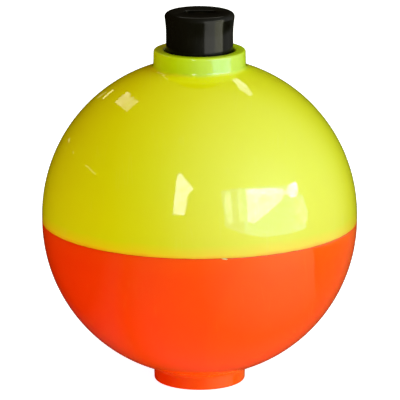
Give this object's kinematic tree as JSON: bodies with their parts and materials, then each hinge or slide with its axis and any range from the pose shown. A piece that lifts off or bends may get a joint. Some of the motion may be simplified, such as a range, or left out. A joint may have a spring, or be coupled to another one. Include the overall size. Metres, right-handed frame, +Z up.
{
  "type": "fishing float",
  "caption": "Round clip-on fishing float: hollow yellow and orange plastic ball with a sprung black push button and a line-holding wire hook at top and bottom.",
  "frame": {"origin": "centre of the lower collar's rim plane, where the float stands", "axes": "+Z up along the float's axis, from the lower collar to the push button; +X from the hook wire's shank side towards the side of its tips"},
  "size_m": [0.0382, 0.0382, 0.0455],
  "materials": {
    "yellow_plastic": "gloss, slightly translucent fluorescent yellow-green",
    "orange_plastic": "gloss, fluorescent orange-red",
    "black_plastic": "satin moulded black",
    "cement": "clear dried solvent cement",
    "spring_steel": "drawn spring wire",
    "brass_wire": "drawn brass wire"
  },
  "bodies": {
    "float_body": {"upper_shell": "yellow_plastic", "lower_shell": "orange_plastic", "seam_cement": "cement", "core_cement": "cement", "return_spring": "spring_steel"},
    "hook_body": {"hook_wire": "brass_wire"},
    "button_body": {"push_button": "black_plastic"}
  },
  "joints": [
    {"name": "press_slide", "type": "slide", "parent": "float_body", "child": "hook_body", "axis": [0, 0, -1], "range_m": [0, 0.0045], "stiffness_N_per_m": 60, "springref_m": -0.006, "deforming": ["return_spring"]},
    {"name": "sleeve_slide", "type": "slide", "parent": "hook_body", "child": "button_body", "axis": [0, 0, -1], "range_m": [0, 0.0045], "stiffness_N_per_m": 60, "springref_m": -0.006, "deforming": ["return_spring"]}
  ]
}
